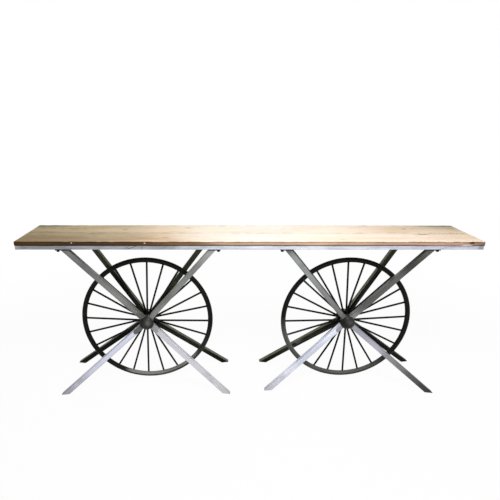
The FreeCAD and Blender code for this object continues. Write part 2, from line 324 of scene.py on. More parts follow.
woodTones = {
    "late": (226, 216, 200), "fibre": (232, 224, 212), "patch": (236, 226, 212), "knot": (112, 78, 50),
    "fleck": (128, 106, 82), "corner": (116, 118, 98), "cornerRim": (92, 97, 82), "under": (214, 200, 180),
    "ends": (206, 188, 164), "edgeStreak": (205, 188, 172), "arris": (188, 162, 138),
    "joint": (150, 140, 132), "paleJointShade": (226, 224, 228), "edgeKnot": (52, 36, 24),
    "dropped": (52, 30, 16), "splinter": (226, 212, 198), "chip": (226, 212, 190),
    # the ramps along X are painted light and shade: bright in the middle, darker towards the ends
    "paintedLightAlongBack": [
        (0.0, (200, 190, 160)), (0.07, (218, 205, 172)), (0.2, (228, 214, 186)), (0.31, (252, 236, 212)),
        (0.44, (255, 246, 231)), (0.54, (255, 251, 243)), (0.66, (255, 243, 229)), (0.8, (248, 232, 216)),
        (0.91, (230, 214, 192)), (1.0, (206, 190, 162))],
    "paintedLightAlongFront": [
        (0.0, (168, 153, 124)), (0.11, (176, 158, 130)), (0.21, (200, 182, 154)), (0.31, (236, 213, 185)),
        (0.4, (255, 246, 234)), (0.5, (255, 252, 245)), (0.6, (255, 247, 236)), (0.7, (255, 240, 223)),
        (0.84, (255, 239, 225)), (1.0, (255, 236, 219))],
    "paintedLightAlongEdge": [
        (0.0, (88, 62, 30)), (0.13, (74, 57, 38)), (0.26, (87, 62, 34)), (0.36, (128, 100, 72)),
        (0.44, (186, 160, 134)), (0.58, (190, 163, 143)), (0.66, (204, 176, 153)), (0.72, (192, 165, 143)),
        (0.8, (180, 152, 132)), (0.93, (188, 160, 139)), (1.0, (126, 108, 92))],
}

# how far the pith wanders, and distances from an end, the back, the top or the under face, from where
# a mark starts to where it is full
woodMarks = {
    "pithDrift": 0.06, "pithLift": 0.07, "cornerFromEnd": (0.26, 0.01), "cornerFromBack": (0.07, 0.004),
    "rimFromEnd": (0.24, 0.06), "rimFromBack": (0.036, 0.008), "arris": (0.007, 0.004), "arrisRagged": 0.003,
    "joint": (0.006, 0.0012)}

# spots are place along, height, half length and half height: here pale chips on the front edge
edgeChips = [(-0.812, topHeight - 0.0062, 0.0036, 0.0022), (-0.483, topHeight - 0.0076, 0.004, 0.0024)]

# a knot that has dropped out of the front edge, near the right end, and the splinter torn off below it
edgeKnots = [(1.0085, topHeight - 0.0058, 0.0125, 0.0052)]
edgeSplinters = [(0.985, boardUnder + 0.002, 0.026, 0.0022)]


def ellipse(x, z, spot):
    # 0 in the middle of a spot and 1 on its outline
    middleX, middleZ, halfLength, halfHeight = spot
    right, up = (x - middleX) / halfLength, (z - middleZ) / halfHeight
    return right * right + up * up


def spotShare(x, z, spots, soft):
    return most(*(ellipse(x, z, spot).ease(1.0 + soft, 1.0 - soft) for spot in spots))


def woodFields(plank, place, x, y, z):
    # late wood share, fibre streaks, knot share and flecks, all of them in the solid
    seed = plank["seed"]
    drift = (noiseAt(vector(x * 0.9, seed, 0.0), 1.0, 2.0) - 0.5) * woodMarks["pithDrift"]
    lift = (noiseAt(vector(x * 1.7, seed + 5.0, 0.0), 1.0, 2.0) - 0.5) * woodMarks["pithLift"]
    radius = reachOf(y - plank["pith"] + drift, z - topHeight + plank["depth"] + lift)
    knotShare = 0.0
    for alongShare, backShare, halfLength, halfWidth, strength in plank["knots"]:
        middle = (alongShare - 0.5) * topLength, (0.5 - backShare) * topWidth
        away = ellipse(x, y, (*middle, halfLength, halfWidth))
        radius = radius + calc("EXPONENT", away * -0.45) * (halfWidth * 1.6)
        knotShare = most(knotShare, calc("EXPONENT", away * -1.9) * strength)
    wobble = noiseAt(place, (3, 40, 40)) * 0.8 - 0.4
    rings = calc("FRACT", radius / plank["ringWidth"] + wobble)
    late = rings.ease(0.35, 0.92) * rings.ease(1.0, 0.93)
    fibre = noiseAt(place, (7, 620, 620), 4.0, 0.65, (seed,) * 3)
    flecks = noiseAt(place, (26, 520, 520), 2.0, shift=(seed * 2,) * 3).ease(0.7, 0.76)
    return late, fibre, knotShare, flecks


def topColour(plank, place, x, y, along, late, fibre, knotShare, flecks):
    towardsFront = y.ease(topWidth * 0.42, -topWidth * 0.46)
    # painted light: the tones along the top are a pool of light, brightest in the middle, darker to the ends
    # and the front left
    colour = mix(towardsFront, ramp(along, woodTones["paintedLightAlongBack"]), ramp(along, woodTones["paintedLightAlongFront"]))
    # the grain is faint in the middle, washed out by the painted pool of light
    clear = most(along.ease(0.4, 0.24, 0.38, 1.0), along.ease(0.66, 0.86, 0.38, 0.7))
    colour = darken(late * clear * 0.75, colour, woodTones["late"])
    colour = darken(fibre.ease(0.38, 0.72, 0.0, 0.8) * clear, colour, woodTones["fibre"])
    patches = noiseAt(place, (2.6, 15, 15), shift=(plank["seed"],) * 3)
    colour = darken(patches.ease(0.36, 0.66) * clear, colour, woodTones["patch"])
    colour = mix(flecks * 0.5, colour, woodTones["fleck"])
    colour = mix(knotShare, colour, woodTones["knot"])
    # greyed back corners, where the wood has weathered
    fromEnd = topLength / 2 - calc("ABSOLUTE", x)
    fromBack = topWidth / 2 - y
    corner = fromEnd.ease(*woodMarks["cornerFromEnd"]) * fromBack.ease(*woodMarks["cornerFromBack"])
    colour = mix(corner * patches.ease(0.3, 0.62, 0.5, 1.0) * 0.9, colour, woodTones["corner"])
    rim = fromEnd.ease(*woodMarks["rimFromEnd"]) * fromBack.ease(*woodMarks["rimFromBack"])
    return mix(rim * 0.85, colour, woodTones["cornerRim"])


def edgeColour(plank, place, x, z, along, knotShare, flecks):
    # the sawn front edge: brown, darker to the left, partly its own stain and partly painted shade where the
    # light falls off; darker along its arris, with a painted shadow in the joint below
    streaks = noiseAt(place, (9, 60, 420), 4.0, 0.6)
    colour = ramp(along, woodTones["paintedLightAlongEdge"])
    colour = darken(streaks.ease(0.35, 0.7, 0.0, 0.9), colour, woodTones["edgeStreak"])
    ragged = noiseAt(place, (34, 5, 5), 4.0, 0.65, (plank["seed"],) * 3) * woodMarks["arrisRagged"]
    arris = (ragged + (topHeight - z)).ease(*woodMarks["arris"])
    colour = darken(arris * 0.9, colour, woodTones["arris"])
    # painted shadow in the joint between the board and the rail below it, paler towards the right end
    jointShadeTone = mix(along.ease(0.82, 0.96), woodTones["joint"], woodTones["paleJointShade"])
    colour = darken((z - boardUnder).ease(*woodMarks["joint"]), colour, jointShadeTone)
    colour = mix(flecks * 0.5, colour, woodTones["knot"])
    colour = mix(knotShare, colour, woodTones["edgeKnot"])
    colour = mix(spotShare(x, z, edgeKnots, 0.45) * 0.94, colour, woodTones["dropped"])
    colour = mix(spotShare(x, z, edgeSplinters, 0.6) * 0.8, colour, woodTones["splinter"])
    return mix(spotShare(x, z, edgeChips, 0.5) * 0.9, colour, woodTones["chip"])


def plankWood(name, plank):
    material, tree, place, x, y, z = startMaterial(name)
    late, fibre, knotShare, flecks = woodFields(plank, place, x, y, z)
    wander = noiseAt(place, (5, 22, 60)) * 0.1 - 0.05
    along = x / topLength + 0.5 + wander
    facing = facingParts(tree)
    top = topColour(plank, place, x, y, along, late, fibre, knotShare, flecks)
    edge = edgeColour(plank, place, x, z, along, knotShare, flecks)
    colour = mix(facing[1].ease(-0.35, -0.75), top, edge)
    # the underside is sawn and unsanded, so it is a little darker, and so are the ends
    colour = darken(facing[2].ease(-0.5, -0.9) * 0.8, colour, woodTones["under"])
    colour = darken(calc("ABSOLUTE", facing[0]).ease(0.5, 0.9) * 0.9, colour, woodTones["ends"])
    height = late * 0.5 + fibre * 0.9 - flecks * 0.6
    roughness = fibre.ease(0.3, 0.75, 0.62, 0.82)
    return finishSurface(material, colour, roughness, height, depth=0.0006, strength=0.35, gloss=0.1)


# Planks: sawn boards with eased, worn edges, slightly dented, one block per board

plankShape = {
    "ease": 0.0016, "endEase": 0.0012, "cup": 0.00035, "ripple": 0.00018, "stations": 620, "topSteps": 12,
    "underSteps": 6, "easeSteps": 3, "wearDepth": 0.0011, "dents": 16, "dentReach": (0.004, 0.016),
    "dentDepth": 0.0007, "gougeDepth": 0.0036, "seed": 41, "sharpAngle": 42}


def skinRings(mesh, rings):
    # faces between neighbouring rings of points
    for first, second in zip(rings, rings[1:]):
        for step in range(len(first)):
            after = (step + 1) % len(first)
            mesh.faces.new((first[step], second[step], second[after], first[after]))


def addPiece(name, mesh, body):
    piece = addObject(name, mesh)
    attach(piece, body)
    return piece


def finishMesh(name, mesh):
    bmesh.ops.recalc_face_normals(mesh, faces=mesh.faces)
    bmesh.ops.triangulate(mesh, faces=[face for face in mesh.faces if len(face.verts) > 4])
    data = bpy.data.meshes.new(name)
    mesh.to_mesh(data)
    mesh.free()
    return data


def plankSection(width, thickness, shape):
    # closed outline from the lower front corner, up the front, over the top and back underneath;
    # each point is across, up and its share of the wear at a corner
    ease, topSteps, under = shape["ease"], shape["topSteps"], shape["underSteps"]
    points = [(0.0, share * (thickness - ease), 0.0) for share in (0.0, 0.25, 0.5, 0.75, 1.0)]
    turns = [math.pi / 2 * step / shape["easeSteps"] for step in range(shape["easeSteps"] + 1)]
    rounds = [(ease * (1 - math.cos(turn)), thickness - ease * (1 - math.sin(turn))) for turn in turns]
    points += [(across, up, 1.0) for across, up in rounds[1:]]
    points += [(ease + (width - 2 * ease) * step / topSteps, thickness, 0.0) for step in range(1, topSteps)]
    points += [(width - across, up, 1.0) for across, up in reversed(rounds)]
    points.append((width, (thickness - ease) * 0.5, 0.0))
    return points + [(width * (1 - step / under), 0.0, 0.0) for step in range(under)]


def makePlank(row, plank, shape, gouges):
    name, node = row + "_plank", row + "_board"
    low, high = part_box(node)
    width, thickness = high.y - low.y, high.z - low.z
    draw = random.Random(shape["seed"] + plank["seed"])
    dents = [(draw.uniform(low.x, high.x), draw.uniform(low.y, high.y), draw.uniform(*shape["dentReach"]))
             for _ in range(shape["dents"])]

    def wornPoint(x, across, up, corner):
        y, z = low.y + across, low.z + up
        towards = 1 if across < width / 2 else -1
        wear = noise.noise(Vector((x * 23, y * 9 + plank["seed"], z * 31))) + 0.15
        bite = corner * shape["wearDepth"] * max(0.0, wear)
        y += towards * bite
        z -= bite
        if up >= thickness - shape["ease"]:
            z -= shape["cup"] * (1 - (2 * across / width - 1) ** 2)
            z -= shape["ripple"] * (0.5 + 0.5 * noise.noise(Vector((x * 6, y * 240, plank["seed"]))))
            for dentX, dentY, size in dents:
                away = math.hypot(x - dentX, (y - dentY) * 1.4)
                if away < size:
                    z -= shape["dentDepth"] * (1 - (away / size) ** 2) ** 2
        for gouge in gouges:
            reach = ellipse(x, z, gouge)
            if across < shape["ease"] * 2 and reach < 1:
                y += shape["gougeDepth"] * (1 - reach) ** 0.7
        fromEnd = min(x - low.x, high.x - x)
        pull = shape["endEase"] * max(0.0, 1 - fromEnd / shape["endEase"]) ** 2
        return x, y + pull * towards, z + pull * (1 if up < thickness / 2 else -1)

    mesh = bmesh.new()
    outline = plankSection(width, thickness, shape)
    rings = []
    for station in range(shape["stations"] + 1):
        x = low.x + (high.x - low.x) * station / shape["stations"]
        rings.append([mesh.verts.new(wornPoint(x, *point)) for point in outline])
    skinRings(mesh, rings)
    mesh.faces.new(rings[0])
    mesh.faces.new(list(reversed(rings[-1])))
    data = finishMesh(name, mesh)
    data.shade_smooth()
    data.set_sharp_from_angle(angle=math.radians(shape["sharpAngle"]))
    data.materials.append(plankWood(name + "Wood", plank))
    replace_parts(addPiece(name, data, "table"), node)


makePlank("front", plankSettings["front"], plankShape, edgeKnots)
makePlank("rear", plankSettings["rear"], plankShape, [])
print("planks made")


# Galvanised frame

frameTones = {
    "dark": (172, 177, 184), "light": (213, 217, 227), "spangle": (222, 227, 236), "grime": (122, 124, 126),
    # the tone under the boards is a painted shadow in the joint
    "streak": (212, 213, 216), "smudge": (150, 154, 164), "scratch": (60, 66, 68), "shadeUnderBoards": (132, 128, 126),
    "frontFace": (0.004, 0.001), "joint": (0.0042, 0.0012),
    # painted light along the rails: darker towards the ends, white in the middle where the light falls
    # strongest
    "along": [
        (0.0, (204, 204, 200)), (0.055, (168, 168, 166)), (0.12, (196, 196, 195)), (0.2, (196, 197, 196)),
        (0.29, (196, 198, 199)), (0.36, (214, 216, 216)), (0.44, (232, 235, 234)), (0.51, (255, 255, 255)),
        (0.62, (255, 255, 255)), (0.71, (240, 240, 241)), (0.8, (246, 244, 250)), (0.94, (242, 240, 246)),
        (1.0, (226, 224, 230))]}

# spots on the front rail
railSmudges = [(-1.035, railLow.z + 0.009, 0.022, 0.008), (-0.862, railLow.z + 0.013, 0.03, 0.005),
               (1.052, railLow.z + 0.01, 0.012, 0.01), (0.985, railLow.z + 0.014, 0.04, 0.004)]

# scratches across the front rail and the edge above it: start, end and half width
railScratches = [
    (-0.566, railLow.z + 0.001, -0.506, boardUnder + 0.004, 0.0017),
    (-0.577, railLow.z + 0.004, -0.545, boardUnder + 0.001, 0.0011),
    (-0.498, railLow.z + 0.002, -0.494, boardUnder - 0.001, 0.0012)]
scratchFade = 0.004


def besideLine(x, z, startX, startZ, endX, endZ):
    # places along and across a line, the line's direction and its length
    run = Vector((endX - startX, endZ - startZ))
    length = run.length
    run.normalize()
    right, up = x - startX, z - startZ
    return right * run.x + up * run.y, up * run.x - right * run.y, run, length


def scratchShare(x, z, scratches):
    share = 0.0
    for *line, halfWidth in scratches:
        along, across, _, length = besideLine(x, z, *line)
        ends = along.ease(-scratchFade, scratchFade) * along.ease(length + scratchFade, length - scratchFade)
        width = calc("ABSOLUTE", across).ease(halfWidth * 1.5, halfWidth * 0.5)
        share = most(share, width * ends)
    return share


def galvanised(name, tones, cloudScale):
    # zinc coat: soft blue-grey clouds, fine spangle and streaks along the tube
    material, tree, place, x, y, z = startMaterial(name)
    clouds = noiseAt(place, cloudScale, 4.0, 0.6)
    colour = mix(clouds.ease(0.32, 0.68), tones["dark"], tones["light"])
    cells = fieldFrom("ShaderNodeTexVoronoi", {"Vector": place, "Scale": 150.0}, "Color", feature="F1")
    spangle = partsOf(tree, cells)[0]
    colour = mix(spangle.ease(0.0, 1.0, 0.0, 0.22), colour, tones["spangle"])
    grime = noiseAt(place, (11, 30, 70), 4.0, 0.65, (4.0, 1.0, 2.0))
    colour = mix(grime.ease(0.6, 0.74, 0.0, 0.55), colour, tones["grime"])
    # painted light: darkens the zinc towards the ends of the table
    colour = darken(1.0, colour, ramp(x / topLength + 0.5, tones["along"]))
    streaks = noiseAt(place, (6, 90, 300), 3.0, 0.6, (2.0, 3.0, 5.0))
    colour = darken(streaks.ease(0.45, 0.68, 0.0, 0.8), colour, tones["streak"])
    onFront = (y - railLow.y).ease(*tones["frontFace"])
    smudges = spotShare(x, z, railSmudges, 0.7) * grime.ease(0.35, 0.6, 0.3, 1.0)
    colour = darken(smudges * onFront * 0.75, colour, tones["smudge"])
    colour = mix(scratchShare(x, z, railScratches) * onFront * 0.8, colour, tones["scratch"])
    # painted shadow in the joint under the boards
    colour = darken((boardUnder - z).ease(*tones["joint"]) * 0.9, colour, tones["shadeUnderBoards"])
    height = spangle * 0.15 + noiseAt(place, (14, 900, 900))
    roughness = clouds.ease(0.3, 0.7, 0.58, 0.44)
    return finishSurface(material, colour, roughness, height, depth=0.0003, strength=0.18, metallic=0.45)


# Painted iron of the wheels, hubs and rear legs

ironSettings = {
    "dark": (8, 9, 6), "light": (19, 20, 16), "rubbed": (56, 54, 48), "dust": (138, 137, 133),
    "cloudScale": 26.0, "rubScale": 90.0, "rubShare": 0.4, "grainScale": 420.0, "grainDepth": 0.0003,
    "rough": 0.5, "gloss": 0.09}
capSettings = {
    **ironSettings, "dark": (8, 8, 7), "light": (22, 22, 21), "rubbed": (50, 50, 48), "dust": (70, 70, 68),
    "cloudScale": 90.0, "grainScale": 260.0, "grainDepth": 0.0006, "rough": 0.38, "gloss": 0.16,
    # a painted highlight on the dome beside the crown, stronger on the left cap
    "worn": (96, 95, 93), "wornSpot": (0.009, 0.007, 0.0115, 0.0115),
    "wornShare": {"left": 1.0, "right": 0.5}}
darkSteelSettings = {
    **ironSettings, "dark": (7, 7, 7), "light": (18, 18, 18), "rubbed": (60, 58, 55), "cloudScale": 60.0,
    "rough": 0.45, "gloss": 0.12}

# heights in these are over the hub, from where a mark starts to where it is full
rearLegSettings = {
    **ironSettings, "dark": (9, 10, 5), "light": (20, 22, 14), "rubbed": (62, 64, 52), "cloudScale": 14.0,
    # the lighter olive is painted light on the legs
    "rough": 0.46, "gloss": 0.05, "faded": (68, 71, 55), "dust": (108, 111, 95), "grey": (118, 118, 117),
    "upperFaded": {"left": 0.95, "right": 0.5}, "lowerFaded": {"left": 0.2, "right": 0.4},
    "greyShare": {"left": 0.25, "right": 0.55}, "inwardReach": (0.0, 0.06), "outerLag": 0.1,
    "fadeAbove": (0.11, 0.18), "fadeBelow": (0.0, -0.06), "fadeEnd": (-0.3, -0.22),
    "greyBelow": (-0.12, -0.16), "greyEnd": (-0.25, -0.21)}

# painted light on the rims, where the light from above falls on the ring's lower arc: strength by place round
# the ring, clockwise from its foot, on its inner half and all round
rimPaintedLight = {
    "left": {
        "inner": [(0.0, 0.98), (0.05, 0.95), (0.07, 0.0), (0.84, 0.0), (0.875, 0.9), (1.0, 0.98)],
        "whole": [(0.0, 0.16), (0.07, 0.0), (0.24, 0.0), (0.77, 0.0), (0.85, 0.1), (1.0, 0.16)]},
    "right": {
        "inner": [(0.0, 0.45), (0.04, 0.36), (0.21, 0.42), (0.255, 0.0), (0.87, 0.0), (0.9, 0.3),
                  (1.0, 0.45)],
        "whole": [(0.0, 0.14), (0.04, 0.14), (0.08, 0.24), (0.21, 0.3), (0.26, 0.0), (0.87, 0.0),
                  (0.9, 0.14), (1.0, 0.14)]},
}


def paintedIron(name, paint, side=None, marksOn=None):
    # semi-matt paint over iron, with worn spots where it is rubbed, and marks laid over it, painted light
    # among them
    material, tree, place, x, _, z = startMaterial(name)
    clouds = noiseAt(place, paint["cloudScale"], 4.0, 0.6)
    colour = mix(clouds.ease(0.35, 0.7), paint["dark"], paint["light"])
    rubbed = noiseAt(place, paint["rubScale"], 5.0, 0.7)
    colour = mix(rubbed.ease(0.62, 0.74, 0.0, paint["rubShare"]), colour, paint["rubbed"])
    if marksOn:
        for share, shade in marksOn(paint, side, tree, place, x - hubs[side].x, z - hubs[side].z):
            colour = mix(share, colour, shade)
    height = noiseAt(place, paint["grainScale"]) + clouds * 0.6
    roughness = clouds.ease(0.3, 0.7, paint["rough"] - 0.08, paint["rough"] + 0.08)
    depth, gloss = paint["grainDepth"], paint["gloss"]
    return finishSurface(material, colour, roughness, height, depth, strength=0.3, gloss=gloss)


def rimMarks(paint, side, tree, place, right, rise):
    # painted light on the lower arc of the ring, strongest on its inner side
    ring, tube = ringOf(side)
    inwards = ring - reachOf(right, rise)
    turn = calc("ARCTAN2", right, rise) / math.tau + 0.5
    inner, whole = (ramp(turn, rimPaintedLight[side][part], "LINEAR") for part in ("inner", "whole"))
    share = most(inner * inwards.ease(-0.1 * tube, 0.5 * tube), whole)
    patches = noiseAt(place, 60.0, 4.0, 0.65).ease(0.25, 0.6, 0.75, 1.0)
    return [(share * inwards.ease(1.6 * tube, 1.1 * tube) * patches, paint["dust"])]


def capMarks(paint, side, tree, place, right, rise):
    # dust and painted light from above on the upper side, and a painted highlight beside the crown
    spot = calc("EXPONENT", ellipse(right, rise, paint["wornSpot"]) * -0.5)
    patches = noiseAt(place, 130.0, 4.0, 0.65)
    worn = spot * patches.ease(0.3, 0.65, 0.6, 0.95) * paint["wornShare"][side]
    dustyAndLit = facingParts(tree)[2].ease(0.35, 0.85, 0.0, 0.5) * patches
    return [(dustyAndLit, paint["dust"]), (worn, paint["worn"])]


def rearLegMarks(paint, side, tree, place, right, rise):
    # painted light: lighter olive towards the top of the legs and on the inner legs below the hub; rubbed
    # grey lower down, and dust with painted light on the faces that look up
    patches = noiseAt(place, 18.0, 4.0, 0.6)
    inwards = (right * -wheelSides[side]).ease(*paint["inwardReach"])
    late = rise - (1.0 - inwards) * paint["outerLag"]
    above = late.ease(*paint["fadeAbove"]) * paint["upperFaded"][side]
    below = rise.ease(*paint["fadeBelow"]) * rise.ease(*paint["fadeEnd"])
    below = below * inwards * paint["lowerFaded"][side]
    faded = most(above, below) * patches.ease(0.32, 0.62, 0.7, 1.0)
    grey = rise.ease(*paint["greyBelow"]) * rise.ease(*paint["greyEnd"]) * inwards
    grey = grey * patches.ease(0.42, 0.58) * paint["greyShare"][side]
    dustyAndLit = facingParts(tree)[2].ease(0.3, 0.62) * patches.ease(0.3, 0.6, 0.6, 0.95)
    return [(faded, paint["faded"]), (grey, paint["grey"]), (dustyAndLit, paint["dust"])]


# Bare steel of the front legs

# for each front leg: reach, share and tone of the painted shadow of the hub cap, how dark the painted shade
# on its corners is, and its tones from the hub to the far end, as shares of its run, painted light and shade:
# bright on the lit lower legs, grey on the upper legs in the table's shade
legTones = {
    "left_front_upper_outer_leg": {"capShadow": (0.062, 0.75, (84, 85, 81)), "corner": 0.5, "along": [
        (0.06, (108, 109, 106)), (0.2, (124, 125, 122)), (0.35, (138, 139, 136)), (0.7, (116, 118, 116)),
        (1.0, (122, 122, 120))]},
    "left_front_upper_inner_leg": {"capShadow": (0.052, 0.35, (108, 109, 104)), "corner": 0.2, "along": [
        (0.06, (142, 143, 138)), (0.2, (136, 138, 133)), (0.35, (116, 118, 113)), (0.5, (136, 138, 134)),
        (0.68, (130, 132, 128)), (1.0, (164, 165, 162))]},
    "left_front_lower_outer_leg": {"capShadow": (0.072, 1.0, (84, 86, 83)), "corner": 0.8, "along": [
        (0.06, (200, 204, 218)), (0.5, (204, 208, 224)), (0.7, (204, 204, 220)), (0.85, (190, 190, 202)),
        (1.0, (154, 154, 162))]},
    "left_front_lower_inner_leg": {"capShadow": (0.062, 0.7, (134, 134, 138)), "corner": 0.4, "along": [
        (0.06, (166, 166, 172)), (0.2, (206, 205, 211)), (0.5, (208, 207, 214)), (0.7, (208, 207, 213)),
        (0.85, (210, 210, 214)), (1.0, (194, 194, 196))]},
    "right_front_upper_inner_leg": {"capShadow": (0.05, 0.6, (108, 109, 106)), "corner": 1.0, "along": [
        (0.06, (118, 119, 116)), (0.4, (132, 133, 132)), (0.7, (150, 152, 152)), (0.9, (152, 154, 154)),
        (1.0, (110, 114, 108))]},
    "right_front_upper_outer_leg": {"capShadow": (0.05, 0.4, (128, 129, 126)), "corner": 0.3, "along": [
        (0.06, (136, 138, 135)), (0.25, (90, 91, 90)), (0.4, (88, 90, 88)), (0.6, (94, 96, 94)),
        (0.8, (64, 66, 61)), (0.9, (74, 76, 71)), (1.0, (94, 95, 90))]},
    "right_front_lower_inner_leg": {"capShadow": (0.062, 1.0, (146, 147, 150)), "corner": 0.12, "along": [
        (0.06, (224, 229, 241)), (0.2, (222, 227, 242)), (0.4, (200, 205, 220)), (0.55, (198, 202, 216)),
        (0.75, (222, 223, 235)), (0.9, (204, 204, 214)), (1.0, (182, 182, 190))]},
    "right_front_lower_outer_leg": {"capShadow": (0.06, 0.4, (144, 146, 148)), "corner": 0.2, "along": [
        (0.06, (134, 136, 142)), (0.12, (140, 142, 148)), (0.2, (152, 153, 164)), (0.35, (168, 167, 180)),
        (0.5, (134, 134, 137)), (0.65, (116, 116, 117)), (0.8, (94, 94, 93)), (0.93, (58, 58, 56)),
        (1.0, (52, 52, 50))]},
}
steelTones = {"streak": (226, 226, 228), "cloud": (212, 212, 214), "corner": (132, 132, 132)}
levelWithin = 1e-5
legShape = {"size": 0.025, "cornerRadius": 0.0025, "hubStation": 0.0245, "capShadowEdge": (0.0128, 0.0108)}


def pointsAt(nodeName, corner):
    # the points of a solid that are level with a corner of its box
    points = [vertex.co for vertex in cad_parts[nodeName].data.vertices]
    return [point for point in points if abs(point.z - corner.z) < levelWithin]


def middleOf(points):
    return Vector([(min(values) + max(values)) / 2 for values in zip(*points)])


def endOfLeg(legName):
    # the middle of the leg's level-cut end
    low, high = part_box(legName)
    return middleOf(pointsAt(legName, high if "_upper_" in legName else low))


def bareSteel(name):
    # mill steel tube: tone drifts from the hub to the far end as painted light and shade, with a painted
    # shadow of the hub cap by the weld
    hub, end, tones = hubs[name.split("_")[0]], endOfLeg(name), legTones[name]
    material, tree, _, x, y, z = startMaterial(name + "Steel")
    along, across, run, reach = besideLine(x, z, hub.x, hub.z, end.x, end.z)
    # depth is from the leg's own middle line, so that the streaks run with it
    station = -legShape["hubStation"]
    legPlace = vector(along, across, y - station - along * ((end.y - station) / reach))
    streaks = noiseAt(legPlace, (2.6, 180, 180), 4.0, 0.6)
    clouds = noiseAt(legPlace, (13, 34, 34), 4.0, 0.6)
    # painted light and shade: the tone along the leg stands in for how it is lit
    colour = ramp(along / reach + (clouds * 0.12 - 0.06), tones["along"])
    colour = darken(streaks.ease(0.36, 0.7, 0.0, 0.5), colour, steelTones["streak"])
    colour = darken(clouds.ease(0.55, 0.75, 0.0, 0.7), colour, steelTones["cloud"])
    # painted shadow that the hub cap casts on the leg next to the boss, with a rounded end
    capShadowReach, capShadowShare, capShadowTone = tones["capShadow"]
    past = most(along - capShadowReach, 0.0)
    colour = mix(reachOf(past, across).ease(*legShape["capShadowEdge"]) * capShadowShare, colour, capShadowTone)
    # painted shade on the rounded corners, which turn away from the light
    facing = facingParts(tree)
    sideways = calc("ABSOLUTE", facing[2] * run.x - facing[0] * run.y)
    corner = sideways.ease(0.25, 0.5) * sideways.ease(0.97, 0.86)
    colour = darken(corner * tones["corner"], colour, steelTones["corner"])
    height, roughness = streaks + clouds * 0.5, clouds.ease(0.3, 0.7, 0.4, 0.54)
    return finishSurface(material, colour, roughness, height, depth=0.0003, strength=0.2, metallic=0.6)


def turnedMetal(name, dark, light, rough, metallic=1.0):
    # bright turned metal with fine rings and a few clouds
    material, _, place, *_ = startMaterial(name)
    rings = noiseAt(place, (20, 2600, 20))
    clouds = noiseAt(place, 120.0, 4.0, 0.6)
    colour = mix(rings.ease(0.4, 0.7, 0.0, 0.3), mix(clouds.ease(0.3, 0.7), dark, light), dark)
    roughness = clouds.ease(0.3, 0.7, rough, rough + 0.14)
    return finishSurface(material, colour, roughness, rings, depth=0.0001, strength=0.2, metallic=metallic)


frameZinc = galvanised("frameZinc", frameTones, (9, 16, 40))
crossZinc = galvanised("crossZinc", frameTones, (16, 9, 40))
screwZinc = turnedMetal("screwZinc", (150, 152, 156), (206, 208, 212), 0.28)
wheelPaint, capPaint, rearLegPaint = (
    {side: paintedIron(side + name, settings, side, marksOn) for side in wheelSides}
    for name, settings, marksOn in (
        ("WheelIron", ironSettings, rimMarks), ("CapIron", capSettings, capMarks),
        ("RearLegIron", rearLegSettings, rearLegMarks)))
darkSteel = paintedIron("darkSteel", darkSteelSettings)
bushBronze = turnedMetal("bushBronze", (120, 84, 44), (196, 152, 92), 0.3)
axleSteel = turnedMetal("axleSteel", (128, 130, 134), (196, 198, 202), 0.26)
weldSteel = turnedMetal("weldSteel", (84, 82, 80), (150, 148, 146), 0.38, 0.8)


def finishNodes(material, *nodeNames):
    for nodeName in nodeNames:
        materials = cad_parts[nodeName].data.materials
        materials.clear()
        materials.append(material)


def finishMetal():
    finishNodes(frameZinc, "front_rail", "rear_rail")
    finishNodes(crossZinc, "left_end_rail", "right_end_rail", *crossBars)
    finishNodes(screwZinc, "board_screws")
    finishNodes(darkSteel, "plate_bolts", "rail_nuts")
    for name in legNames("front"):
        finishNodes(bareSteel(name), name)
    for name in legNames("rear"):
        finishNodes(rearLegPaint[name.split("_")[0]], name)
    for side in wheelSides:
        finishNodes(wheelPaint[side], side + "_rim", side + "_spokes", side + "_hub_barrel")
        finishNodes(bushBronze, side + "_bushes")
        finishNodes(axleSteel, side + "_axle", side + "_axle_nuts")
        for row in rowSides:
            finishNodes(darkSteel, f"{side}_{row}_outer_leg_plate", f"{side}_{row}_inner_leg_plate")
            finishNodes(capPaint[side], f"{side}_{row}_boss", f"{side}_{row}_cap")


finishMetal()
print("metal finishes made")


# Geometry Nodes shared by the welds and the screws

def startTree(name, inputs):
    # a tree with a geometry in and out, and named inputs of the given kinds
    tree = bpy.data.node_groups.new(name, "GeometryNodeTree")
    tree.interface.new_socket("Geometry", in_out="OUTPUT", socket_type="NodeSocketGeometry")
    for label, kind in {"Geometry": "Geometry", **inputs, "Seed": "Int", "Material": "Material"}.items():
        tree.interface.new_socket(label, in_out="INPUT", socket_type="NodeSocket" + kind)
    return tree, {socket.name: Field(socket) for socket in addNode(tree, "NodeGroupInput").outputs}


def randomValue(least, most, seed):
    # sockets 2 and 3 are the limits of a random number, and 1 is the number
    return fieldFrom("FunctionNodeRandomValue", {2: least, 3: most, "Seed": seed}, 1, data_type="FLOAT")


def placeOn(tree, points, shape, given, more):
    # a copy of the shape on each point, realised, smooth shaded and with its material, as a plain mesh needs
    placed = fieldFrom("GeometryNodeInstanceOnPoints", {"Points": points, "Instance": shape, **more})
    solid = fieldFrom("GeometryNodeRealizeInstances", {"Geometry": placed})
    smooth = fieldFrom("GeometryNodeSetShadeSmooth", {"Geometry": solid})
    coloured = fieldFrom("GeometryNodeSetMaterial", {"Geometry": smooth, "Material": given["Material"]})
    addNode(tree, "NodeGroupOutput", {"Geometry": coloured})
    return tree


